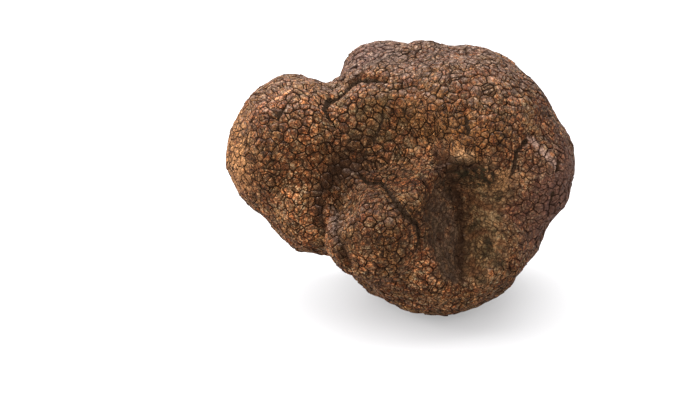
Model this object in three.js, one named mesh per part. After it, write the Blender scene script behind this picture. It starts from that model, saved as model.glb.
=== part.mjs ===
// A whole black truffle: one solid, knobbly fruiting body of several lobes that grew together,
// covered all over by small pyramidal warts. It rests on a small flat spot under its weight.
// Millimetres, +Z up. The origin is on the surface it rests on, under the middle of the body,
// and the side with the deep pit and the nose-like front lobe faces -Y.
import * as THREE from 'three';
import { ConvexHull } from 'three/addons/math/ConvexHull.js';

// Driving dimensions. The body is 80 long, 65 deep and 61 high.
const HEART = new THREE.Vector3(2, 5, 20); // the whole skin can be seen from this point
const NEAREST_SKIN = 2; // the skin's distance from the heart is between these two
const FURTHEST_SKIN = 62;
const LOBE_BLEND = 1.2; // how softly two lobes run into each other
const WART_SPACING = 2.17; // least distance between the middles of two warts
const WART_HEIGHT = 0.3; // of a wart's tip above the lobes
const GROOVE_DEPTH = 0.3; // of the grooves between warts below the lobes
const KNOB_COUNT = 170; // low swellings and dimples over the whole body
const KNOB_WIDTH = [0.07, 0.21]; // least and greatest, in radians as seen from the heart
const KNOB_STEEPNESS = 8.8; // greatest height of a knob, for each radian of its width

// A lobe or a hollow is an ellipsoid: its middle, its half sizes, and its turn about Y in degrees.
const LOBES = [
  { middle: [3, 3, 30], half: [28, 25, 24], turn: 0 }, // the core that joins the others
  { middle: [14, 1, 38.5], half: [21.5, 22, 22.3], turn: 0 }, // high dome on the right
  { middle: [0, 4, 42], half: [19, 18, 16], turn: 0 }, // upper middle
  { middle: [-26, 1, 38], half: [14, 16, 16.5], turn: -25 }, // the lobe on the left
  { middle: [-18, -1, 27], half: [14, 17, 14], turn: 0 }, // and its foot
  { middle: [-5, -20, 25.5], half: [12.5, 12, 12.5], turn: 0 }, // round part of the nose
  { middle: [2, -20, 33], half: [9, 9, 10], turn: 0 }, // plate beside it, next to the pit
  { middle: [9, -7, 18.5], half: [21, 21, 17.5], turn: 0 }, // belly
  { middle: [27, 0, 33], half: [13, 17, 15], turn: 0 }, // right flank
  { middle: [18, 0, 20], half: [15.5, 17, 14], turn: 0 }, // below the flank
  { middle: [-3.2, 18.5, 49.5], half: [10.2, 9, 8], turn: 0 }, // small lobe at the top of the back
  { middle: [5, 9, 53], half: [9, 7, 7.5], turn: 0 }, // knob on the crown
  { middle: [-14, 17, 27], half: [17, 15, 19], turn: 0 }, // back, left
  { middle: [15, 17, 25], half: [20, 15.4, 21], turn: 0 }, // back, right
  { middle: [3, 4, 14], half: [17, 16, 15.5], turn: 0 }, // foot, cut flat where it rests
];
const HOLLOWS = [
  { middle: [13.4, -28.5, 27.8], half: [8, 12.5, 15], turn: 11, soft: 0.6 }, // the deep pit
  { middle: [21, -34, 30], half: [13, 16, 14], turn: 0, soft: 2.5 }, // slope on its right
  { middle: [-6, -22, 48], half: [12, 13, 10], turn: 0, soft: 2.5 }, // basin above the nose
  { middle: [-15, -23, 36], half: [5, 10, 9], turn: 0, soft: 1 }, // pocket left of the nose
  { middle: [-2, -22, 42.5], half: [13, 12, 5], turn: 15, soft: 2 }, // valley over the nose
];

// A crease follows the skin through a few points near it. Its width is from middle to side.
const CREASES = [
  { // the long crack between the left lobe and the crown
    points: [[-3.5, -3.7, 55], [-6, -2.8, 55.1], [-9.4, -1, 54.7], [-11.4, -1.1, 53.5],
      [-14.1, -2.2, 50.9], [-16.9, -3.3, 50.6], [-17.6, -6.5, 48.9], [-16.1, -8.1, 46]],
    depth: 2,
    width: 0.75,
  },
  { // a crack down the nose
    points: [[-9.8, -13.6, 35.7], [-7.6, -16.6, 34.8], [-4.6, -17.7, 35.4], [-3.1, -22.5, 34.9],
      [-1.3, -27.6, 33.8], [1, -28.8, 31.4], [3.1, -26.8, 28.9], [3.6, -26.5, 25.6],
      [3.4, -28, 23.8]],
    depth: 1.7,
    width: 0.7,
  },
  { // the fold at the bottom of the pit
    points: [[9, -17.5, 41], [10.3, -18.5, 39], [13.3, -17.5, 34.5], [14.7, -16.5, 30.5],
      [15, -16.5, 23.5], [14.2, -19.5, 17], [13.8, -24, 13]],
    depth: 2,
    width: 1.6,
  },
  { // a crack over the top of the pit
    points: [[11, -20.5, 40.5], [14.5, -20.5, 40.5], [16, -20.5, 41]],
    depth: 1.2,
    width: 0.55,
  },
  { // a short one above it
    points: [[14.2, -16.7, 51.7], [15, -19.2, 45.8]],
    depth: 0.8,
    width: 0.45,
  },
  { // the deeper of two that cross on the right
    points: [[29, -13.5, 44.9], [26, -17, 42.6], [25.6, -18, 37.5]],
    depth: 1.3,
    width: 0.6,
  },
  { // and the longer one
    points: [[23.7, -16.2, 49.1], [28.5, -15, 44], [34, -12.8, 38]],
    depth: 0.6,
    width: 0.9,
  },
  { // a notch on the right flank
    points: [[36.2, -10.9, 39], [35.9, -12.3, 36.2]],
    depth: 1.6,
    width: 0.8,
  },
  { // and one below it
    points: [[35.1, -13.2, 31.6], [34.4, -13.2, 28.8]],
    depth: 1.3,
    width: 0.7,
  },
  { // down into the basin
    points: [[-3, -8, 52.5], [-4, -8, 50.5], [-5, -8.5, 46.5], [-7, -9.5, 42.5]],
    depth: 0.8,
    width: 0.45,
  },
  { // along the basin's upper edge
    points: [[-3.5, -6.5, 54], [2.5, -7.5, 55.5], [6.5, -12, 55], [9, -14, 54]],
    depth: 0.5,
    width: 0.7,
  },
  { // a short crack on the left lobe
    points: [[-26.8, -9.2, 50.4], [-28.4, -10.9, 48.2]],
    depth: 0.8,
    width: 0.5,
  },
  { // down the left side of the nose
    points: [[-17.5, -16.2, 29.5], [-15.7, -21, 27], [-15.2, -24.4, 26], [-13.8, -28, 23.5],
      [-12.6, -28.8, 20]],
    depth: 1.8,
    width: 1.3,
  },
  { // a short one under it
    points: [[-3.5, -25.5, 15.2], [0, -26, 14]],
    depth: 0.9,
    width: 0.6,
  },
  { // the valley between the nose and the left lobe
    points: [[-16.5, -12, 39], [-19.5, -15.5, 33.5], [-20.5, -17.5, 30], [-18.5, -18, 23]],
    depth: 2.5,
    width: 2.6,
  },
  { // the valley over the nose
    points: [[-15, -11.5, 41], [-9.5, -13, 37.5], [-2.5, -12.5, 39], [4.5, -13, 41],
      [8, -17.5, 41]],
    depth: 1.8,
    width: 2.2,
  },
  { // where the small lobe at the back meets the crown
    points: [[-15.5, 3.2, 52.8], [-12.5, 5.8, 53.8], [-9.5, 7.3, 55.3], [-6.5, 8.3, 56.8],
      [-3.5, 9.4, 58], [0, 10.5, 59]],
    depth: 2.8,
    width: 1.3,
  },
];

const GOLDEN_ANGLE = Math.PI * (3 - Math.sqrt(5));

// A fixed number from 0 to 1 for each whole n and salt.
function chance(n, salt) {
  const x = Math.sin(n * 12.9898 + salt * 78.233) * 43758.5453;
  return x - Math.floor(x);
}

function directionAt(z, angle) {
  const across = Math.sqrt(1 - z * z);
  return new THREE.Vector3(across * Math.cos(angle), across * Math.sin(angle), z);
}

function pointAlong(direction, distance) {
  return direction.clone().multiplyScalar(distance).add(HEART);
}

// About how far a point is outside an ellipsoid; negative inside.
function outside(point, { middle, half, turn }) {
  const angle = THREE.MathUtils.degToRad(turn);
  const x = point.x - middle[0];
  const z = point.z - middle[2];
  const u = (x * Math.cos(angle) + z * Math.sin(angle)) / half[0];
  const v = (point.y - middle[1]) / half[1];
  const w = (z * Math.cos(angle) - x * Math.sin(angle)) / half[2];
  const scaled = Math.hypot(u, v, w);
  return (scaled * (scaled - 1)) / Math.hypot(u / half[0], v / half[1], w / half[2]);
}

// The lobes run together softly, and each hollow is taken out with soft edges.
function outsideBody(point) {
  const each = LOBES.map((lobe) => outside(point, lobe));
  const least = Math.min(...each);
  const sum = each.reduce((total, d) => total + Math.exp((least - d) / LOBE_BLEND), 0);
  let distance = least - LOBE_BLEND * Math.log(sum);
  for (const hollow of HOLLOWS) {
    const inHollow = -outside(point, hollow);
    const most = Math.max(distance, inHollow);
    const nearness = Math.exp((Math.min(distance, inHollow) - most) / hollow.soft);
    distance = most + hollow.soft * Math.log(1 + nearness);
  }
  return distance;
}

// The distance from the heart at which a direction leaves the body, found by halving.
function bodyReach(direction) {
  const halvings = 18;
  let near = NEAREST_SKIN;
  let far = FURTHEST_SKIN;
  for (let i = 0; i < halvings; i++) {
    const middle = (near + far) / 2;
    if (outsideBody(pointAlong(direction, middle)) < 0) near = middle;
    else far = middle;
  }
  return (near + far) / 2;
}

const knobs = Array.from({ length: KNOB_COUNT }, (_, n) => {
  const axis = directionAt(1 - (2 * n + 1) / KNOB_COUNT, (n + 0.5) * GOLDEN_ANGLE);
  const shift = [1, 2, 3].map((salt) => (chance(n, salt) - 0.5) / 4);
  const width = THREE.MathUtils.lerp(...KNOB_WIDTH, chance(n, 4));
  const height = (chance(n, 5) - 0.45) * KNOB_STEEPNESS * width;
  return { axis: axis.add(new THREE.Vector3(...shift)).normalize(), width, height };
});

// Creases as runs of directions from the heart.
const creases = CREASES.map(({ points, depth, width }) => {
  const ends = points.map((p) => new THREE.Vector3(...p).sub(HEART).normalize());
  const stretches = ends.slice(1).map((end, i) => new THREE.Line3(ends[i], end));
  return { stretches, depth, width };
});

// How deep the creases are in a direction: a narrow cut in the middle of a wider dip.
function creaseDepth(direction, distance) {
  const nearest = new THREE.Vector3();
  let total = 0;
  for (const { stretches, depth, width } of creases) {
    let apart = Infinity;
    for (const stretch of stretches) {
      stretch.closestPointToPoint(direction, true, nearest).normalize();
      apart = Math.min(apart, nearest.distanceTo(direction));
    }
    const d = (apart * distance) / width;
    total += depth * (0.8 * Math.exp(-d * d) + 0.2 * Math.exp((-d * d) / 9));
  }
  return total;
}

// How far the skin is from the heart in a direction, without its warts.
function reach(direction) {
  let distance = bodyReach(direction);
  for (const { axis, width, height } of knobs) {
    distance += height * Math.exp((2 * direction.dot(axis) - 2) / (width * width));
  }
  return distance - creaseDepth(direction, distance);
}

function skinPoint(direction, lift) {
  const point = pointAlong(direction, reach(direction) + lift);
  point.z = Math.max(point.z, 0); // flattened where it rests
  return point;
}

// Directions of the wart tips: a try is kept if no kept one is nearer to it than the spacing.
function wartDirections() {
  const tries = 90000;
  const directions = [];
  const places = [];
  for (let n = 0; n < tries; n++) {
    const direction = directionAt(2 * chance(n, 6) - 1, 2 * Math.PI * chance(n, 7));
    const place = pointAlong(direction, reach(direction));
    if (places.every((other) => other.distanceTo(place) > WART_SPACING)) {
      directions.push(direction);
      places.push(place);
    }
  }
  return directions;
}

// Each wart is a low pyramid. Its tip is a corner of the hull of all the tips' directions,
// and its foot runs through the middles of the hull's faces around that corner.
function wartySkin() {
  const tips = wartDirections();
  const numberOf = new Map(tips.map((tip, i) => [tip, i]));
  const positions = tips.map((tip) => skinPoint(tip, WART_HEIGHT));
  const { faces } = new ConvexHull().setFromPoints(tips);
  const footOf = new Map();
  for (const face of faces) {
    const middle = new THREE.Vector3();
    for (const k of [0, 1, 2]) middle.add(face.getEdge(k).head().point);
    footOf.set(face, positions.length);
    positions.push(skinPoint(middle.normalize(), -GROOVE_DEPTH));
  }
  const index = [];
  for (const face of faces) {
    for (const k of [0, 1, 2]) {
      const edge = face.getEdge(k);
      index.push(numberOf.get(edge.head().point), footOf.get(face), footOf.get(edge.twin.face));
    }
  }
  const geometry = new THREE.BufferGeometry().setFromPoints(positions).setIndex(index);
  geometry.computeVertexNormals();
  return geometry;
}

const skin = new THREE.MeshStandardMaterial({ color: 0x4a2f22, roughness: 0.8, metalness: 0 });
const truffle = new THREE.Mesh(wartySkin(), skin);
truffle.name = 'truffle';

const part = new THREE.Group();
part.add(truffle);
export default part;
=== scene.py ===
"""A whole black truffle on a pale floor. Its skin is a closed net of some five thousand polygonal
warts with cracks between them, laid over the same lobes, hollows and creases as its CAD solid."""
import itertools
import math

import bmesh
import bpy
import numpy as np
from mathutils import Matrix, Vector, kdtree, noise


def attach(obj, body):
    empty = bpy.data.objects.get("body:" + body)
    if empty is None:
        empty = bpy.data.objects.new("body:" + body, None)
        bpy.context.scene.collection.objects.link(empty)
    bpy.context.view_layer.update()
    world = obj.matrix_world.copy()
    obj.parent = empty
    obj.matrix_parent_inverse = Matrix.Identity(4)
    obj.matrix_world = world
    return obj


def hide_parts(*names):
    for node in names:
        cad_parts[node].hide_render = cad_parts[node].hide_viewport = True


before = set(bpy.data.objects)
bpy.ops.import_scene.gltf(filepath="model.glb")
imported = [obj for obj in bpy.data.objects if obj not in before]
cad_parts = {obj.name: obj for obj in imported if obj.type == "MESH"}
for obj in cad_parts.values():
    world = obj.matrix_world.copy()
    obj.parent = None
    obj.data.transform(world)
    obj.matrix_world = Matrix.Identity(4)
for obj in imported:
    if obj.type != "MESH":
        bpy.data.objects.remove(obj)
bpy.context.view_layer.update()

MM = 0.001

# ------------------------------------------------------- the truffle's form, in millimetres

HEART = np.array([2.0, 5.0, 20.0])  # the whole skin can be seen from this point
NEAREST_SKIN = 2.0
FURTHEST_SKIN = 62.0
LOBE_BLEND = 1.2  # how softly two lobes run into each other
KNOB_COUNT = 170  # low swellings and dimples over the whole body
KNOB_WIDTH = (0.07, 0.21)  # least and greatest, in radians as seen from the heart
KNOB_STEEPNESS = 8.8  # greatest height of a knob, for each radian of its width
HALVINGS = 18  # steps in which the skin's place is found

# A lobe is an ellipsoid: its middle, its half sizes, and its turn about Y in degrees.
LOBES = {
    "core": ((3, 3, 30), (28, 25, 24), 0),
    "right_dome": ((14, 1, 38.5), (21.5, 22, 22.3), 0),
    "upper_middle": ((0, 4, 42), (19, 18, 16), 0),
    "left_lobe": ((-26, 1, 38), (14, 16, 16.5), -25),
    "left_foot": ((-18, -1, 27), (14, 17, 14), 0),
    "nose": ((-5, -20, 25.5), (12.5, 12, 12.5), 0),
    "nose_plate": ((2, -20, 33), (9, 9, 10), 0),
    "belly": ((9, -7, 18.5), (21, 21, 17.5), 0),
    "right_flank": ((27, 0, 33), (13, 17, 15), 0),
    "below_flank": ((18, 0, 20), (15.5, 17, 14), 0),
    "back_knob": ((-3.2, 18.5, 49.5), (10.2, 9, 8), 0),
    "crown_knob": ((5, 9, 53), (9, 7, 7.5), 0),
    "back_left": ((-14, 17, 27), (17, 15, 19), 0),
    "back_right": ((15, 17, 25), (20, 15.4, 21), 0),
    "foot": ((3, 4, 14), (17, 16, 15.5), 0),
}
# A hollow is one too, and how soft its edge is.
HOLLOWS = {
    "pit": ((13.4, -28.5, 27.8), (8, 12.5, 15), 11, 0.6),
    "pit_slope": ((21, -34, 30), (13, 16, 14), 0, 2.5),
    "basin": ((-6, -22, 48), (12, 13, 10), 0, 2.5),
    "left_pocket": ((-15, -23, 36), (5, 10, 9), 0, 1),
    "nose_valley": ((-2, -22, 42.5), (13, 12, 5), 15, 2),
}
# A crease follows the skin through a few points near it: then its depth, and its width from
# middle to side.
CREASES = {
    "long_crack": (
        ((-3.5, -3.7, 55), (-6, -2.8, 55.1), (-9.4, -1, 54.7), (-11.4, -1.1, 53.5),
         (-14.1, -2.2, 50.9), (-16.9, -3.3, 50.6), (-17.6, -6.5, 48.9), (-16.1, -8.1, 46)),
        2, 0.75,
    ),
    "nose_crack": (
        ((-9.8, -13.6, 35.7), (-7.6, -16.6, 34.8), (-4.6, -17.7, 35.4), (-3.1, -22.5, 34.9),
         (-1.3, -27.6, 33.8), (1, -28.8, 31.4), (3.1, -26.8, 28.9), (3.6, -26.5, 25.6),
         (3.4, -28, 23.8)),
        1.7, 0.7,
    ),
    "pit_fold": (
        ((9, -17.5, 41), (10.3, -18.5, 39), (13.3, -17.5, 34.5), (14.7, -16.5, 30.5),
         (15, -16.5, 23.5), (14.2, -19.5, 17), (13.8, -24, 13)),
        2, 1.6,
    ),
    "over_pit": (((11, -20.5, 40.5), (14.5, -20.5, 40.5), (16, -20.5, 41)), 1.2, 0.55),
    "brow": (((14.2, -16.7, 51.7), (15, -19.2, 45.8)), 0.8, 0.45),
    "right_crack": (((29, -13.5, 44.9), (26, -17, 42.6), (25.6, -18, 37.5)), 1.3, 0.6),
    "right_ridge": (((23.7, -16.2, 49.1), (28.5, -15, 44), (34, -12.8, 38)), 0.6, 0.9),
    "right_notch": (((36.2, -10.9, 39), (35.9, -12.3, 36.2)), 1.6, 0.8),
    "lower_notch": (((35.1, -13.2, 31.6), (34.4, -13.2, 28.8)), 1.3, 0.7),
    "into_basin": (((-3, -8, 52.5), (-4, -8, 50.5), (-5, -8.5, 46.5), (-7, -9.5, 42.5)), 0.8, 0.45),
    "basin_edge": (((-3.5, -6.5, 54), (2.5, -7.5, 55.5), (6.5, -12, 55), (9, -14, 54)), 0.5, 0.7),
    "left_crack": (((-26.8, -9.2, 50.4), (-28.4, -10.9, 48.2)), 0.8, 0.5),
    "nose_side": (
        ((-17.5, -16.2, 29.5), (-15.7, -21, 27), (-15.2, -24.4, 26), (-13.8, -28, 23.5),
         (-12.6, -28.8, 20)),
        1.8, 1.3,
    ),
    "under_nose": (((-3.5, -25.5, 15.2), (0, -26, 14)), 0.9, 0.6),
    "left_of_nose": (
        ((-16.5, -12, 39), (-19.5, -15.5, 33.5), (-20.5, -17.5, 30), (-18.5, -18, 23)),
        2.5, 2.6,
    ),
    "over_nose": (
        ((-15, -11.5, 41), (-9.5, -13, 37.5), (-2.5, -12.5, 39), (4.5, -13, 41), (8, -17.5, 41)),
        1.8, 2.2,
    ),
    "back_crease": (
        ((-15.5, 3.2, 52.8), (-12.5, 5.8, 53.8), (-9.5, 7.3, 55.3), (-6.5, 8.3, 56.8),
         (-3.5, 9.4, 58), (0, 10.5, 59)),
        2.8, 1.3,
    ),
}


def chance(n, salt):
    """A fixed number from 0 to 1 for each whole n and salt."""
    x = np.sin(n * 12.9898 + salt * 78.233) * 43758.5453
    return x - np.floor(x)


def length_of(vectors):
    return np.linalg.norm(vectors, axis=1)


def unit(vectors):
    return vectors / length_of(vectors)[:, None]


def directions_at(z, angle):
    across = np.sqrt(1 - z * z)
    return np.stack([across * np.cos(angle), across * np.sin(angle), z], 1)


def outside(points, middle, half, turn):
    """About how far each point is outside an ellipsoid; negative inside."""
    angle = math.radians(turn)
    x, y, z = (points - np.array(middle)).T
    u = (x * math.cos(angle) + z * math.sin(angle)) / half[0]
    w = (z * math.cos(angle) - x * math.sin(angle)) / half[2]
    scaled = np.stack([u, y / half[1], w], 1)
    size = length_of(scaled)
    return size * (size - 1) / length_of(scaled / np.array(half))


def outside_body(points):
    """The lobes run together softly, and each hollow is taken out with soft edges."""
    each = np.stack([outside(points, *lobe) for lobe in LOBES.values()])
    least = each.min(0)
    distance = least - LOBE_BLEND * np.log(np.exp((least - each) / LOBE_BLEND).sum(0))
    for middle, half, turn, soft in HOLLOWS.values():
        in_hollow = -outside(points, middle, half, turn)
        distance = soft * np.logaddexp(distance / soft, in_hollow / soft)
    return distance


def body_reach(directions):
    """The distance from the heart at which each direction leaves the body, found by halving."""
    near = np.full(len(directions), NEAREST_SKIN)
    far = np.full(len(directions), FURTHEST_SKIN)
    for _ in range(HALVINGS):
        middle = (near + far) / 2
        inside = outside_body(HEART + directions * middle[:, None]) < 0
        near = np.where(inside, middle, near)
        far = np.where(inside, far, middle)
    return (near + far) / 2


def knob_height(directions):
    n = np.arange(KNOB_COUNT)
    golden_angle = math.pi * (3 - math.sqrt(5))
    axes = directions_at(1 - (2 * n + 1) / KNOB_COUNT, (n + 0.5) * golden_angle)
    axes = unit(axes + np.stack([(chance(n, salt) - 0.5) / 4 for salt in (1, 2, 3)], 1))
    widths = KNOB_WIDTH[0] + (KNOB_WIDTH[1] - KNOB_WIDTH[0]) * chance(n, 4)
    heights = (chance(n, 5) - 0.45) * KNOB_STEEPNESS * widths
    total = np.zeros(len(directions))
    for axis, width, height in zip(axes, widths, heights):
        total += height * np.exp((2 * directions @ axis - 2) / width**2)
    return total


def from_crease(directions, distance, points):
    """How far each place on the skin is from a crease's line."""
    ends = unit(np.array(points) - HEART)
    apart = np.full(len(directions), 2.0)
    for start, end in zip(ends, ends[1:]):
        way = end - start
        part = np.clip((directions - start) @ way / (way @ way), 0, 1)
        nearest = unit(start + part[:, None] * way)
        apart = np.minimum(apart, length_of(directions - nearest))
    return apart * distance


def crease_depth(directions, distance):
    """How deep the creases are: each a narrow cut in the middle of a wider dip."""
    total = np.zeros(len(directions))
    for points, depth, width in CREASES.values():
        d = from_crease(directions, distance, points) / width
        total += depth * (0.8 * np.exp(-d * d) + 0.2 * np.exp(-d * d / 9))
    return total


def filled_points(directions):
    """Where each direction from the heart meets the skin, without its creases and warts."""
    distance = body_reach(directions) + knob_height(directions)
    return HEART + directions * distance[:, None]


def skin_points(directions):
    """Where each direction from the heart meets the skin, without its warts."""
    distance = body_reach(directions) + knob_height(directions)
    distance -= crease_depth(directions, distance)
    return HEART + directions * distance[:, None]


# ---------------------------------------------------------------- the warts

WART_SPACING = 2.45  # least distance between the middles of two usual warts
WART_SPREAD = (0.7, 1.35)  # by how much two warts' spacing differs
WART_TRIES = 90000
PIT_FINENESS = 0.35  # the share by which the pit's warts are closer together
CREASE_SPACING = 1.9  # between pairs of warts along a crease
CREASE_CLOSENESS = 0.6  # how much closer than that another wart may come
CREASE_OFFSET = 0.9  # of such a pair from the crease
CREASE_STEP = 0.4
WIDEST_PAIRED = 1.5  # a wider crease has no such pairs
WIDEST_CRACK = 0.8  # a wider crease isn't dark

# How far to the side of its line a crease is dark: its own dark colour, and painted shade on the
# trench's walls.
CREASE_REACH = {
    "basin_edge": 0.25,
    "left_crack": 0.85,
    "nose_crack": 0.75,
    "long_crack": 0.85,
    "right_crack": 0.65,
    "right_notch": 1.0,
    "lower_notch": 0.65,
}
USUAL_REACH = 0.42

# Lines that are marked by colour alone, a painted highlight along the ridge and painted shade along
# the folds: the places they pass, and the mark's reach.
RIDGE_HIGHLIGHT_LINE = (((28.6, -14, 45.9), (31.1, -13.4, 42.3), (33.8, -12.9, 39.2), (35.7, -12.5, 36.5)), 1)
ABOVE_FOLD = (7.4, -13.9, 41.8)
FOLD_SHADE_LINES = (
    ((ABOVE_FOLD, *CREASES["pit_fold"][0]), 1),
    (CREASES["nose_side"][0], 1.3),
    (CREASES["left_of_nose"][0], 1.2),
    (((-16.5, -12, 39), (-12, -13, 37.5), (-9.8, -13.6, 36.5)), 1.3),
    (((-12.3, 0.4, 53.8), (-10.2, 0.5, 55), (-7.4, 2.8, 56), (-4.4, 4.1, 57.1), (-2.3, 6.2, 58.1),
      (0, 9, 59.5)), 0.8),
    (((11.8, -19, 39.7), (14.1, -19.2, 39.8), (16.9, -19.3, 39.6)), 0.6),
)
FURTHEST_MARK = 5.0  # past this a mark's distance no longer grows
MARK_WAVER = 0.4
MARK_WAVE = 0.8  # size of the waves in a mark's edge

CRACKED_AREA = (3.8, 9.5)  # a wart larger than an area drawn between these is cracked in two
CRACK_SLANT = 0.3
CRACK_SLIP = 0.12  # of such a crack from the wart's middle
SHORTEST_SIDE = 0.32  # a wart's sides are no shorter
LONGEST_SIDE = 1.3  # a longer one is bent in the middle
BEND = 0.16
DEEP_CRACK = 0.42  # of the crack's floor below the form
FINE_CRACK = 0.1
# The deepest cracks run along the lines where a soft noise passes zero: its waves for each
# millimetre, and how near zero it counts.
LONG_LINE_WAVES = 0.11
LONG_LINE_WIDTH = 0.07
CRACK_WIDTHS = (0.11, 0.16, 0.22)  # from the middle of a crack to its side, narrow to wide
ROUGH_PLACE = ((-11, -13, 40), 15)  # where the widest cracks are, and how far round it
PLATE_RISE = (0.06, 0.03)  # of a wart's edge above the form, and how that varies
PLATE_TILT = 0.07
EDGE_WIDTH = 0.13  # of the rounding along a wart's edge
EDGE_RISE = 0.05
CROWN_RISE = 0.02  # of a wart's middle above its rounded edge
HIGHEST_LIFT = 0.5
PIT_FLATNESS = 0.9  # the share by which the pit's warts are lower
SMOOTHINGS = 30  # of the net that shows where the form is hollow
# Heights and sizes of the soft lumps everywhere, and of the grains in the pit.
LUMPS = ((0.55, 6), (0.22, 2.3))
GRAINS = ((0.3, 0.7), (0.3, 1.5))

# Relief, from a crack's floor to a wart's flat top.
CRACK_FLOOR = 0.1
FINE_CRACK_FLOOR = 0.4
WART_SIDE = 0.7
WART_TOP = 1

PIT_LIP = 0.9  # how far past the pit's hollow its fine grain reaches
PIT_LIP_WIDTH = 0.6
PIT_SLOPE = ((18.5, -20, 26), (7.5, 9, 14.5), 0)  # an ellipsoid, as the hollows are
PIT_SLOPE_WIDTH = 3.5
PIT_SLOPE_SHIFT = 0.15
PIT_RAGGEDNESS = 0.9


def raggedness(points, size):
    return np.array([noise.noise(Vector(point) / size) for point in points])


def waves(place, sizes):
    """Soft noise in several heights and sizes."""
    return sum(height * noise.noise(place / size) for height, size in sizes)


def pit_share(points):
    """1 in the fine-grained pit and on its slope, 0 outside them."""
    directions = unit(points - HEART)
    body = HEART + directions * body_reach(directions)[:, None]
    wall = (PIT_LIP - outside(body, *HOLLOWS["pit"][:3])) / PIT_LIP_WIDTH
    slope = PIT_SLOPE_SHIFT - outside(points, *PIT_SLOPE) / PIT_SLOPE_WIDTH
    wall += PIT_RAGGEDNESS * raggedness(points, 1.6)
    slope += PIT_RAGGEDNESS * raggedness(points, 2.5)
    return np.clip(np.maximum(wall, slope), 0, 1)


def places_along(line):
    """Closely set places on the skin along a line, and how far along it each is, from 0 to 1."""
    ends = np.array(line, float)
    spans = length_of(np.diff(ends, axis=0))
    ways = np.concatenate([[0], np.cumsum(spans)]) / spans.sum()
    parts = np.linspace(0, 1, int(spans.sum() / CREASE_STEP))
    places = np.stack([np.interp(parts, ways, axis) for axis in ends.T], 1)
    return filled_points(unit(places - HEART)), parts


def line_distance(points, lines):
    """How far each point is from the nearest of some lines over the skin, for lines of a wider
    reach divided by it. It grows towards a line's ends, and wavers."""
    marks = []
    for line, reach in lines:
        for place, part in zip(*places_along(line)):
            marks.append((place, reach * min(1, 0.5 + 4 * part, 0.5 + 4 * (1 - part))))
    tree = kdtree.KDTree(len(marks))
    for n, (place, reach) in enumerate(marks):
        tree.insert(place, n)
    tree.balance()
    distances = []
    for point in points:
        place, n, distance = tree.find(point)
        distance += MARK_WAVER * noise.noise(Vector(point) / MARK_WAVE)
        distances.append(min(distance / marks[n][1], FURTHEST_MARK))
    return distances


def crack_distance(points):
    return line_distance(points, [
        (line, CREASE_REACH.get(name, USUAL_REACH))
        for name, (line, depth, width) in CREASES.items() if width <= WIDEST_CRACK
    ])


def spacing_at(points, draw):
    """Warts are smaller in some patches, no two are alike, and the pit's are finest."""
    x, y, z = points.T
    patches = np.sin(x / 7 + 1) * np.sin(y / 8 + 2) * np.sin(z / 6.5)
    spread = draw.uniform(*WART_SPREAD, len(points))
    fineness = 1 - PIT_FINENESS * pit_share(points)
    return WART_SPACING * (1 + 0.15 * patches) * spread * fineness


def crease_directions():
    """Pairs of warts face each other across a crease, so that a crack follows it."""
    pairs = []
    for points, depth, width in CREASES.values():
        if width > WIDEST_PAIRED:
            continue
        ends = np.array(points, float)
        for start, end in zip(ends, ends[1:]):
            way = end - start
            across = np.cross(way, start - HEART)
            across *= CREASE_OFFSET / np.linalg.norm(across)
            count = max(1, round(np.linalg.norm(way) / CREASE_SPACING))
            for n in range(count):
                middle = start + way * (n + 0.5) / count
                slip = way / count * 0.5 * chance(len(pairs), 7)
                pairs += [middle + across + slip, middle - across - slip]
    return unit(np.array(pairs) - HEART)


def wart_directions():
    """A try is kept if no kept wart is nearer to it than the spacing there."""
    draw = np.random.default_rng(11)
    heights = draw.uniform(-1, 1, WART_TRIES)
    directions = directions_at(heights, draw.uniform(0, 2 * math.pi, WART_TRIES))
    first = crease_directions()
    directions = np.concatenate([first, directions])
    places = skin_points(directions)
    spacings = spacing_at(places, draw)
    spacings[:len(first)] = CREASE_CLOSENESS * CREASE_SPACING
    cell = spacings.max()
    steps = list(itertools.product((-1, 0, 1), repeat=3))
    kept = {}
    chosen = []
    for n, (place, spacing) in enumerate(zip(places, spacings)):
        home = [int(c) for c in place // cell]
        cells = [tuple(h + s for h, s in zip(home, step)) for step in steps]
        near = [other for c in cells for other in kept.get(c, ())]
        if all(math.dist(place, other) > spacing for other in near):
            kept.setdefault(tuple(home), []).append(place)
            chosen.append(n)
    return directions[chosen]


def coordinates(net):
    return np.array([v.co for v in net.verts])


def move(net, places):
    for vertex, place in zip(net.verts, places):
        vertex.co = place
    net.normal_update()


def settle(net):
    """Every vertex goes to the skin, along its direction from the heart."""
    move(net, skin_points(unit(coordinates(net) - HEART)))


def wart_net(directions):
    """A closed net over the skin, with one many-sided face for each direction."""
    net = bmesh.new()
    for direction in directions:
        net.verts.new(direction)
    bmesh.ops.convex_hull(net, input=net.verts[:])
    move(net, skin_points(directions))
    bmesh.ops.beautify_fill(net, faces=net.faces[:], edges=net.edges[:], method="ANGLE")
    middles = net.verts[:]
    links = net.edges[:]
    corners = bmesh.ops.poke(net, faces=net.faces[:])["verts"]
    bmesh.ops.dissolve_edges(net, edges=links, use_verts=False, use_face_split=False)
    bmesh.ops.connect_verts(net, verts=corners)
    bmesh.ops.dissolve_verts(net, verts=middles)
    return net


def crack_across(net, plate, draw):
    """A straight crack through a wart, mostly across its longer way. Gives the two parts."""
    longer_way = plate.calc_tangent_vert_diagonal()
    turned = longer_way + Vector(draw.normal(0, CRACK_SLANT, 3))
    middle = plate.calc_center_median() + longer_way * draw.normal(0, CRACK_SLIP)
    parts = [plate, *plate.edges, *plate.verts]
    cut = bmesh.ops.bisect_plane(net, geom=parts, plane_co=middle, plane_no=turned)
    fine = net.edges.layers.int["fine"]
    for part in cut["geom_cut"]:
        if isinstance(part, bmesh.types.BMEdge):
            part[fine] = 1
    return [part for part in cut["geom"] if isinstance(part, bmesh.types.BMFace)]


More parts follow.
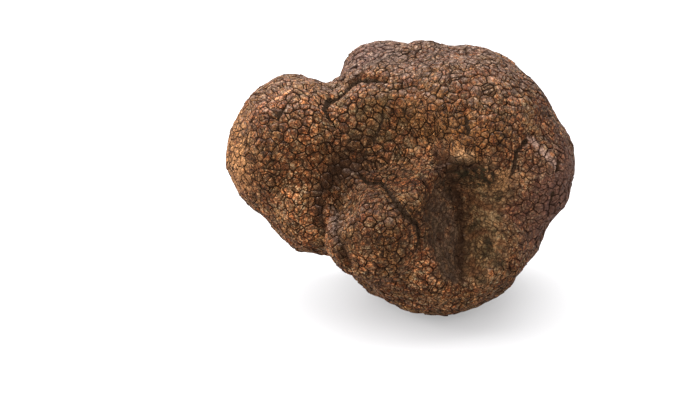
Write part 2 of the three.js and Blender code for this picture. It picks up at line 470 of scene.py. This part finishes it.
def crack_plates(net, draw):
    """The greater warts are cracked in two, and their parts again."""
    net.edges.layers.int.new("fine")
    waiting = net.faces[:]
    while waiting:
        plate = waiting.pop()
        if plate.calc_area() > draw.uniform(*CRACKED_AREA):
            parts = crack_across(net, plate, draw)
            if len(parts) == 2:
                waiting += parts


def bend(net, edges):
    """Gives the new vertices in the middles of the edges."""
    made = bmesh.ops.subdivide_edges(net, edges=edges, cuts=1)["geom_inner"]
    new = [part for part in made if isinstance(part, bmesh.types.BMVert)]
    for vertex in new:
        vertex.co += noise.noise_vector(vertex.co * 1.3) * BEND
    return new


def hollowness(net):
    """How far each vertex lies in a hollow of the form, against the same net smoothed."""
    places = coordinates(net)
    normals = np.array([v.normal for v in net.verts])
    for _ in range(SMOOTHINGS):
        bmesh.ops.smooth_vert(
            net, verts=net.verts[:], factor=0.5, use_axis_x=True, use_axis_y=True, use_axis_z=True
        )
    depth = ((coordinates(net) - places) * normals).sum(1)
    move(net, places)
    return depth


def inset(net, faces, width):
    bmesh.ops.inset_individual(net, faces=faces, thickness=width, depth=0, use_even_offset=False)


def crack_group(plate):
    """Which of the crack widths a wart has round it."""
    middle = plate.calc_center_median()
    rough_middle, rough_radius = ROUGH_PLACE
    wide = 0.5 + 0.9 * noise.noise(middle * 0.16) + 0.6 * noise.noise(middle * 0.7)
    wide += 0.8 * max(0, 1 - (middle - Vector(rough_middle)).length / rough_radius)
    return min(max(int(wide * len(CRACK_WIDTHS)), 0), len(CRACK_WIDTHS) - 1)


def cracked_net(draw):
    """The net of warts, with its cracks' sides bent and its vertices on the skin."""
    net = wart_net(wart_directions())
    crack_plates(net, draw)
    bmesh.ops.dissolve_degenerate(net, edges=net.edges[:], dist=SHORTEST_SIDE)
    for name in ("cavity", "relief", "pit", "crack", "fold", "ridge", "lift"):
        net.verts.layers.float.new(name)
    net.faces.layers.float.new("tone")
    relief = net.verts.layers.float["relief"]
    lift = net.verts.layers.float["lift"]
    fine = net.edges.layers.int["fine"]
    bend(net, [e for e in net.edges if not e[fine] and e.calc_length() > LONGEST_SIDE])
    for vertex in net.verts:
        off_line = abs(noise.noise(vertex.co * LONG_LINE_WAVES)) / LONG_LINE_WIDTH
        on_line = max(0, 1 - off_line)
        vertex[relief] = CRACK_FLOOR * (1 - on_line)
        vertex[lift] = -DEEP_CRACK * 0.6 * (1 + on_line)
    thin = [e for e in net.edges if e[fine] and e.calc_length() > 2 * SHORTEST_SIDE]
    for vertex in bend(net, thin):
        vertex[relief] = FINE_CRACK_FLOOR
        vertex[lift] = -FINE_CRACK
    settle(net)
    return net


def raise_plates(net, draw):
    """Each face becomes a wart: a crack's side round it, a rounded edge and a flat top."""
    relief = net.verts.layers.float["relief"]
    lift = net.verts.layers.float["lift"]
    tone = net.faces.layers.float["tone"]
    plates = net.faces[:]
    for group, width in enumerate(CRACK_WIDTHS):
        inset(net, [p for p in plates if crack_group(p) == group], width)
    for plate in plates:
        plate[tone] = draw.uniform()
        rise = draw.normal(*PLATE_RISE)
        tilt = Vector(draw.normal(0, PLATE_TILT, 3))
        middle = plate.calc_center_median()
        for vertex in plate.verts:
            vertex[relief] = WART_SIDE
            vertex[lift] = rise + tilt.dot(vertex.co - middle)
    inset(net, plates, EDGE_WIDTH)
    for plate in plates:
        for vertex in plate.verts:
            vertex[relief] = WART_TOP
            vertex[lift] += EDGE_RISE
    for crown in bmesh.ops.poke(net, faces=plates)["verts"]:
        crown[relief] = WART_TOP
        crown[lift] += CROWN_RISE
    bmesh.ops.triangulate(net, faces=net.faces[:])


def fill_layer(net, name, values):
    layer = net.verts.layers.float[name]
    for vertex, value in zip(net.verts, values):
        vertex[layer] = value


def truffle_skin():
    draw = np.random.default_rng(5)
    noise.seed_set(5)  # or noise_vector would differ with the clock
    net = cracked_net(draw)
    fill_layer(net, "cavity", hollowness(net))
    raise_plates(net, draw)
    settle(net)
    places = coordinates(net)
    filled = filled_points(unit(places - HEART))
    fill_layer(net, "pit", pit_share(places))
    fill_layer(net, "crack", crack_distance(filled))
    fill_layer(net, "fold", line_distance(filled, FOLD_SHADE_LINES))
    fill_layer(net, "ridge", line_distance(filled, [RIDGE_HIGHLIGHT_LINE]))
    pit = net.verts.layers.float["pit"]
    lift = net.verts.layers.float["lift"]
    for vertex in net.verts:
        wart = min(max(vertex[lift], -HIGHEST_LIFT), HIGHEST_LIFT)
        wart *= 1 - PIT_FLATNESS * vertex[pit]
        grains = vertex[pit] * waves(vertex.co, GRAINS)
        vertex.co += vertex.normal * (wart + waves(vertex.co, LUMPS) + grains)
        vertex.co.z = max(vertex.co.z, 0)
    bmesh.ops.scale(net, vec=(MM, MM, MM), verts=net.verts[:])
    bmesh.ops.recalc_face_normals(net, faces=net.faces[:])
    for face in net.faces:
        face.smooth = True
    return net


def object_from(net, name, material):
    mesh = bpy.data.meshes.new(name)
    net.to_mesh(mesh)
    net.free()
    mesh.materials.append(material)
    thing = bpy.data.objects.new(name, mesh)
    bpy.context.collection.objects.link(thing)
    return thing


# ---------------------------------------------------------------- materials


SPOT_RAGGEDNESS = 0.7  # of a coloured spot's border
SPOT_CORE = 0.2  # the share of a spot's radius that has its full colour


class Signal:
    """A value in a material. An expression on signals adds its Math nodes."""

    def __init__(self, finish, socket):
        self.finish = finish
        self.socket = socket

    def math(self, operation, *others):
        sockets = dict(enumerate((self, *others)))
        return self.finish.put("ShaderNodeMath", {"operation": operation}, sockets)

    def __add__(self, other):
        return self.math("ADD", other)

    def __mul__(self, other):
        return self.math("MULTIPLY", other)

    def __sub__(self, other):
        return self.math("SUBTRACT", other)

    def __rsub__(self, other):
        return self * -1 + other

    def __truediv__(self, other):
        return self.math("DIVIDE", other)

    __radd__ = __add__
    __rmul__ = __mul__

    def between(self, low, high):
        """0 below low and 1 above high, with a smooth step between."""
        settings = {"interpolation_type": "SMOOTHSTEP"}
        return self.finish.put("ShaderNodeMapRange", settings, {0: self, 1: low, 2: high})


class Finish:
    """A material, its nodes, and its Principled shader."""

    def __init__(self, name):
        self.material = bpy.data.materials.new(name)
        self.material.use_nodes = True
        self.tree = self.material.node_tree
        self.shader = self.tree.nodes["Principled BSDF"]

    def put(self, kind, settings=(), sockets=(), output=0):
        """Adds a node, sets it up, and fills its sockets with values or links."""
        node = self.tree.nodes.new(kind)
        for name, value in dict(settings).items():
            if name == "stops":
                self.set_stops(node.color_ramp.elements, value)
            else:
                setattr(node, name, value)
        self.fill(node, sockets)
        return Signal(self, node.outputs[output])

    def fill(self, node, sockets):
        for name, value in dict(sockets).items():
            if isinstance(value, Signal):
                self.tree.links.new(value.socket, node.inputs[name])
            else:
                node.inputs[name].default_value = value

    @staticmethod
    def set_stops(elements, stops):
        while len(elements) < len(stops):
            elements.new(1)
        for element, (place, colour) in zip(elements, stops):
            element.position = place
            element.color = (*colour, 1)

    def mix(self, first, second, share, blend="MIX"):
        settings = {"data_type": "RGBA", "blend_type": blend}
        values = [v if isinstance(v, Signal) else (*v, 1) for v in (first, second)]
        return self.put("ShaderNodeMix", settings, {0: share, 6: values[0], 7: values[1]}, 2)

    def attribute(self, name):
        return self.put("ShaderNodeAttribute", {"attribute_name": name}, output="Fac")

    def millimetres(self):
        place = self.put("ShaderNodeTexCoord", output="Object")
        return self.put("ShaderNodeVectorMath", {"operation": "SCALE"}, {0: place, "Scale": 1 / MM})

    def noise(self, place, size, detail=3.0, roughness=0.5):
        """Soft noise from 0 to 1, with blobs of about a size in millimetres."""
        sockets = {"Vector": place, "Scale": 1 / size, "Detail": detail, "Roughness": roughness}
        return self.put("ShaderNodeTexNoise", (), sockets)

    def near(self, place, middle, radius):
        """1 at a spot, falling to 0 at a radius from it."""
        distance = self.put(
            "ShaderNodeVectorMath", {"operation": "DISTANCE"}, {0: place, 1: middle}, "Value"
        )
        ragged = (self.noise(place, radius / 3, detail=4) - 0.5) * SPOT_RAGGEDNESS
        return 1 - (distance / radius + ragged).between(SPOT_CORE, 1)


CRACK_BROWN = (0.0085, 0.0030, 0.0008)
CREASE_BROWN = (0.0190, 0.0095, 0.0044)
UMBER = (0.0190, 0.0070, 0.0022)
RED_BROWN = (0.0560, 0.0215, 0.0076)
RUST = (0.0960, 0.0440, 0.0200)
TAN = (0.2300, 0.1300, 0.0680)
SKIN_RAMP = [(0.0, UMBER), (0.36, RED_BROWN), (0.62, RUST), (1.0, TAN)]
# Shifts of hue: size of the patches in millimetres, and the two tints they run between.
HUES = (
    (5, (1.12, 0.94, 0.84), (0.9, 1.04, 1.08)),
    (1.1, (1.24, 0.93, 0.66), (0.84, 1.08, 1.22)),
)
CLOUDS = ((0.58, 0.56, 0.56), (1.18, 1.16, 1.14))
ORANGE = (0.1300, 0.0500, 0.0120)
OLIVE = (0.0470, 0.0330, 0.0130)
GREY_BROWN = (0.0600, 0.0350, 0.0220)
PLUM = (0.0680, 0.0330, 0.0250)
PALE_ORANGE = (0.2200, 0.1050, 0.0420)
CREST = (0.3400, 0.1950, 0.1000)
MAUVE = (0.1500, 0.0980, 0.0880)
WALL_BROWN = (0.0620, 0.0370, 0.0230)
WALL_DARK = (0.0200, 0.0125, 0.0070)
MOSS = (0.0330, 0.0255, 0.0120)
MOSS_BLACK = (0.0085, 0.0075, 0.0028)
OCHRE = (0.1320, 0.0790, 0.0350)
RIDGE_HIGHLIGHT_BROWN = (0.2400, 0.1500, 0.1150)
BLOOM_AND_SHEEN = (0.1900, 0.1250, 0.1000)
GLINT = (0.3300, 0.2250, 0.1600)

# Spots on the truffle that differ in colour: a middle and a radius.
ORANGE_SPOTS = (((3, -15, 50), 12), ((15, -20, 46), 10))
OLIVE_SPOT = ((-6, -11, 46), 14)
PLUM_SPOT = ((38, -8, 28), 24)
ABOVE_PIT = ((13.7, -19.7, 41.6), 4.2)
CREST_SPOT = ((13.7, -19.7, 41.6), 3.6)
BESIDE_PIT = ((21.4, -18.4, 36.4), 5.5)
LEFT_RIM_LIGHT = ((-40, -5, 38), 14)
BACK_KNOB = ((-7, 13, 56), 14)
MOSS_AND_SHADE_SPOTS = (((14, -19.3, 37.2), 8), ((18.5, -18.5, 37), 5.5))
DARK_MOSS_AND_SHADE_SPOT = ((13, -18.6, 38.6), 6)
SHADE_SPOTS = (((-15, -12, 37.5), 9.5), ((9, -18, 41), 4))
ROUGH_AND_SHADED_SPOT = ((-10, -13, 40), 12)
BARE_SPOT = ((-1, -20, 38), 20)
PIT_TURN = (12, 16)  # the pit's left wall gives way to its slope between these, along X
# Painted light and painted shade: spots whose colour a tint darkens or lightens, each a middle, a
# radius and the tint.
LIGHT_AND_SHADE_TINTS = (
    ((0, -28, 32), 18, (0.68, 0.66, 0.62)),  # the nose, darker
    ((4, -20, 39), 9, (0.80, 0.78, 0.76)),  # and the plate above it
    ((-27, -20, 43), 15, (0.68, 0.67, 0.64)),  # the left lobe's middle, darker
    ((-22, -13, 38.5), 10, (1.50, 1.46, 1.42)),  # next to the nose it is lighter
    ((-24, -15, 26), 14, (1.30, 1.30, 1.30)),  # as on its lower side
    ((-27, -6, 55), 15, (1.38, 1.38, 1.38)),  # on its top
    ((-41, -6, 40), 13, (1.25, 1.24, 1.20)),  # and at its far end
    ((6, 2, 61), 22, (0.58, 0.555, 0.54)),  # the crown, darker
    ((-7, 13, 56), 14, (0.72, 0.70, 0.75)),  # the knob behind it
    ((31, -5, 52), 16, (0.73, 0.71, 0.70)),  # and the right side's top
)

# How much each colour covers where it is strongest.
COVER = {
    "orange": 0.7, "specks": 0.35, "olive": 0.55, "grey": 0.4, "plum": 0.8, "wall": 0.9,
    "red blotches": 0.8, "dark blotches": 0.75, "pale": 0.8, "moss_and_shade": 0.95, "dark moss": 0.8,
    "shade": 0.85, "rough_and_shade": 0.8, "ridge": 0.8, "fold edge": 0.5, "fold": 0.9, "hollow": 0.55,
    "glints": 0.5, "bloom_and_sheen": 0.5, "cracks in the pit": 0.4,
}

GRAIN_HEIGHT = 0.5 * MM  # of the bump
SKIN_GLOSS = 0.06


class Skin(Finish):
    """The truffle's finish. Each part of it takes the colour so far and gives it changed."""

    def __init__(self, name):
        super().__init__(name)
        self.place = self.millimetres()
        self.middling = self.patches(3)
        self.fine = self.patches(1.0, detail=2)
        self.grit = self.patches(0.45, detail=1)
        self.speckle = self.patches(1.6, detail=4, roughness=0.7).between(0.35, 0.65)
        self.pit = self.attribute("pit")

    def patches(self, size, detail=3.0, roughness=0.5):
        return self.noise(self.place, size, detail, roughness)

    def spots(self, *spots):
        """1 at any of some spots, each a middle and a radius, and 0 away from them."""
        each = [self.near(self.place, middle, radius) for middle, radius in spots]
        return sum(each[1:], each[0])

    def earth(self):
        """The skin's own brown, from umber to tan, with its shifts of hue."""
        warmth = self.attribute("tone") * 0.15 + self.patches(12) * 0.7 + self.middling * 0.9
        warmth = warmth + self.fine * 1.3 + self.grit * 2.2 - 2.1
        colour = self.put("ShaderNodeValToRGB", {"stops": SKIN_RAMP}, {0: warmth})
        for size, warm, cool in HUES:
            shift = self.patches(size, roughness=0.6).between(0.35, 0.65)
            colour = self.mix(colour, self.mix(warm, cool, shift), 1, "MULTIPLY")
        orange = self.spots(*ORANGE_SPOTS) * 0.6 + self.patches(5).between(0.5, 0.68) * 0.5
        orange = (orange * warmth.between(0.2, 0.6)).math("MINIMUM", COVER["orange"])
        colour = self.mix(colour, ORANGE, orange)
        specks = self.patches(0.5, detail=2).between(0.52, 0.66)
        colour = self.mix(colour, UMBER, specks * COVER["specks"])
        olive = self.spots(OLIVE_SPOT) * self.middling.between(0.45, 0.6)
        colour = self.mix(colour, OLIVE, olive * COVER["olive"])
        grey = self.patches(4.5).between(0.5, 0.75)
        colour = self.mix(colour, GREY_BROWN, grey * COVER["grey"])
        return self.mix(colour, PLUM, self.spots(PLUM_SPOT) * COVER["plum"])

    def in_pit(self, colour):
        """The pit's dark wall on the left, dark in its own colour and by painted shade, and its
        mossy slope on the right.
        """
        right = self.put("ShaderNodeSeparateXYZ", (), {0: self.place}, "X").between(*PIT_TURN)
        # The left wall: dark skin and painted shade.
        wall = self.mix(WALL_DARK, WALL_BROWN, self.speckle)
        slope = self.mix(MOSS, OCHRE, self.speckle)
        cover = self.pit * (COVER["wall"] - right * 0.25)
        colour = self.mix(colour, self.mix(wall, slope, right), cover)
        blotches = self.patches(3.5, detail=4, roughness=0.6)
        red = self.pit * right * blotches.between(0.5, 0.6)
        colour = self.mix(colour, RED_BROWN, red * COVER["red blotches"])
        dark = self.pit * right * blotches.between(0.47, 0.37)
        return self.mix(colour, MOSS_BLACK, dark * COVER["dark blotches"])

    def in_spots(self, colour):
        """The spots that are paler, mauve, mossy or darker than the rest, some in their own colour
        and some by painted light and painted shade.
        """
        # The spots by the pit are paler in their own colour; the left end is paler by painted rim
        # light.
        pale = self.spots(ABOVE_PIT, BESIDE_PIT) + self.spots(LEFT_RIM_LIGHT) * 1.6
        broken = (self.middling + self.grit * 0.6).between(0.65, 0.9)
        colour = self.mix(colour, PALE_ORANGE, pale.math("MINIMUM", 1) * broken * COVER["pale"])
        colour = self.mix(colour, CREST, self.spots(CREST_SPOT) * self.grit.between(0.35, 0.6))
        colour = self.mix(colour, MAUVE, self.spots(BACK_KNOB) * (0.2 + self.speckle * 0.4))
        # At the top of the pit, under its crest: green-black skin and painted shade.
        moss_and_shade = self.spots(*MOSS_AND_SHADE_SPOTS) * self.speckle.between(0.9, 0.1)
        colour = self.mix(colour, MOSS_BLACK, moss_and_shade.math("MINIMUM", COVER["moss_and_shade"]))
        dark_moss_and_shade = self.spots(DARK_MOSS_AND_SHADE_SPOT) * self.grit.between(0.3, 0.5)
        colour = self.mix(colour, MOSS_BLACK, dark_moss_and_shade * COVER["dark moss"])
        shade = self.spots(*SHADE_SPOTS) * self.middling.between(0.2, 0.6)
        colour = self.mix(colour, UMBER, shade * COVER["shade"])
        clouds = self.patches(2, detail=4, roughness=0.65).between(0.36, 0.6)
        colour = self.mix(colour, self.mix(*CLOUDS, clouds), 1, "MULTIPLY")
        # In the valley left of the nose: deep dark cracks and painted shade.
        rough_and_shade = self.spots(ROUGH_AND_SHADED_SPOT) * self.patches(1.2).between(0.47, 0.57)
        colour = self.mix(colour, CRACK_BROWN, rough_and_shade * COVER["rough_and_shade"])
        # Painted light and painted shade from the tinted spots.
        for middle, radius, tint in LIGHT_AND_SHADE_TINTS:
            colour = self.mix(colour, tint, self.spots((middle, radius)), "MULTIPLY")
        return colour

    def in_folds(self, colour):
        """A painted highlight along the pale ridge on the right, and painted shade in the folds and
        in the hollows of the form.
        """
        # Painted highlight along the ridge on the right.
        ridge = 1 - self.attribute("ridge").between(0.3, 1.1)
        broken = self.middling.between(0.3, 0.5)
        colour = self.mix(colour, RIDGE_HIGHLIGHT_BROWN, ridge * broken * COVER["ridge"])
        # Painted shade along the folds: a dark edge and a darker core.
        fold = self.attribute("fold")
        colour = self.mix(colour, UMBER, (1 - fold.between(0.8, 3)) * COVER["fold edge"])
        cover = (1 - fold.between(0.3, 1.2)) * (COVER["fold"] - self.speckle * 0.35)
        colour = self.mix(colour, CRACK_BROWN, cover)
        # Painted shade in the form's hollows.
        hollow = self.attribute("cavity").between(0.3, 2.6)
        return self.mix(colour, UMBER, hollow * COVER["hollow"])

    def on_top(self, colour):
        """Painted sheen, mixed with a pale dusty coat, and painted glints where the skin faces up.
        """
        normal = self.put("ShaderNodeNewGeometry", output="Normal")
        up = self.put("ShaderNodeSeparateXYZ", (), {0: normal}, "Z")
        plain = (1 - self.pit) * (1 - self.spots(BARE_SPOT))
        # Painted glints.
        glints = self.patches(0.8, detail=2).between(0.54, 0.68) * up.between(0.35, 0.95)
        colour = self.mix(colour, GLINT, glints * plain * COVER["glints"])
        # Painted sheen on up-facing skin, partly a pale dusty coat.
        bloom_and_sheen = up.between(0.45, 1) * self.patches(1.2, detail=4).between(0.35, 0.7)
        return self.mix(colour, BLOOM_AND_SHEEN, bloom_and_sheen * plain * COVER["bloom_and_sheen"])

    def hairlines(self):
        """Thin lines between small cells, which wander."""
        sockets = {"Vector": self.place, "Scale": 1.1, "Detail": 2.0}
        wander = self.put("ShaderNodeTexNoise", (), sockets, "Color")
        bent = self.put("ShaderNodeVectorMath", {"operation": "ADD"}, {0: self.place, 1: wander})
        settings = {"feature": "DISTANCE_TO_EDGE"}
        sockets = {"Vector": bent, "Scale": 0.95}
        cells = self.put("ShaderNodeTexVoronoi", settings, sockets, "Distance")
        return 1 - cells.between(0.0, 0.14)

    def cracks(self):
        """1 on the floor of the cracks between the warts, fainter in patches and in the pit."""
        faint = self.patches(3.5, detail=2).between(0.38, 0.6) * 0.3
        deep = 1 - self.attribute("relief").between(0.28, 0.88)
        return deep * (1 - self.pit * (1 - COVER["cracks in the pit"])) * (1 - faint)


def warty_skin():
    skin = Skin("warty_skin")
    colour = skin.on_top(skin.in_folds(skin.in_spots(skin.in_pit(skin.earth()))))
    hairline = skin.hairlines()
    lined = 0.4 + skin.patches(4).between(0.42, 0.6) * 0.45
    colour = skin.mix(colour, UMBER, hairline * lined)
    dark = skin.cracks()
    colour = skin.mix(colour, CRACK_BROWN, dark)
    # The creases: their own dark colour, with painted shade on their walls.
    crease = 1 - skin.attribute("crack").between(0.75, 1.1)
    colour = skin.mix(colour, CREASE_BROWN, crease)

    roughness = 0.55 + skin.fine * 0.3 + dark * 0.2
    grain = skin.fine * 1.1 + skin.grit * 0.8 - hairline * 0.35
    sockets = {"Height": grain, "Strength": 1.0, "Distance": GRAIN_HEIGHT}
    bump = skin.put("ShaderNodeBump", (), sockets)
    skin.fill(skin.shader, {"Base Color": colour, "Roughness": roughness, "Normal": bump,
                            "Specular IOR Level": SKIN_GLOSS})
    return skin.material


FLOOR_GREY = (0.27, 0.267, 0.272, 1)
WHITE = (1, 1, 1, 1)
FLOOR_ROUGHNESS = 0.6
FLOOR_GLOW = 0.3


def pale_floor():
    floor = Finish("pale_floor")
    floor.fill(floor.shader, {"Base Color": FLOOR_GREY, "Roughness": FLOOR_ROUGHNESS,
                             "Emission Color": WHITE, "Emission Strength": FLOOR_GLOW})
    return floor.material


# ---------------------------------------------------------------- the piece and its stage

truffle = object_from(truffle_skin(), "truffle_skin", warty_skin())
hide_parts("truffle")
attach(truffle, "root")


def add_floor():
    net = bmesh.new()
    bmesh.ops.create_grid(net, x_segments=1, y_segments=1, size=3)
    object_from(net, "floor", pale_floor())


def aimed(data, place, target):
    """An object with this data at a place, looking at a target."""
    thing = bpy.data.objects.new(data.name, data)
    thing.location = place
    thing.rotation_euler = (Vector(target) - Vector(place)).to_track_quat("-Z", "Y").to_euler()
    bpy.context.collection.objects.link(thing)
    return thing


def add_camera():
    """Looks down 20 degrees from the front; the truffle stands right of the picture's middle."""
    elevation = math.radians(20)
    distance = 0.62
    picture_width = 0.16232  # at the aim's distance
    beside = Vector((-11.71, -2, 0)) * MM
    higher = 24 * MM
    nearer = 10.6 * MM
    ahead = Vector((0, math.cos(elevation), -math.sin(elevation)))
    upward = Vector((0, math.sin(elevation), math.cos(elevation)))
    aim = beside + upward * higher - ahead * nearer
    camera = bpy.data.cameras.new("camera")
    camera.sensor_width = 36
    camera.lens = camera.sensor_width * distance / picture_width
    bpy.context.scene.camera = aimed(camera, aim - ahead * distance, aim)


SKY_STRENGTH = 2.0
LIT_PLACE = (0, 0, 0.03)
# Square lamps that are aimed at it: their place and size in metres, and their watts.
LAMPS = {
    "overhead": ((0, 0.25, 0.75), 1, 9.5),
    "left_back": ((-0.8, 0.15, 0.5), 0.8, 21),
    "right": ((0.75, -0.3, 0.3), 0.6, 2),
    "front": ((-0.3, -0.9, 0.2), 0.8, 14.5),
}


def add_light():
    world = bpy.data.worlds.new("studio")
    world.use_nodes = True
    sky = world.node_tree.nodes["Background"]
    sky.inputs["Color"].default_value = WHITE
    sky.inputs["Strength"].default_value = SKY_STRENGTH
    bpy.context.scene.world = world
    for name, (place, size, watts) in LAMPS.items():
        lamp = bpy.data.lights.new(name, "AREA")
        lamp.size = size
        lamp.energy = watts
        aimed(lamp, place, LIT_PLACE)


add_floor()
add_camera()
add_light()
bpy.context.scene.view_settings.view_transform = "Standard"
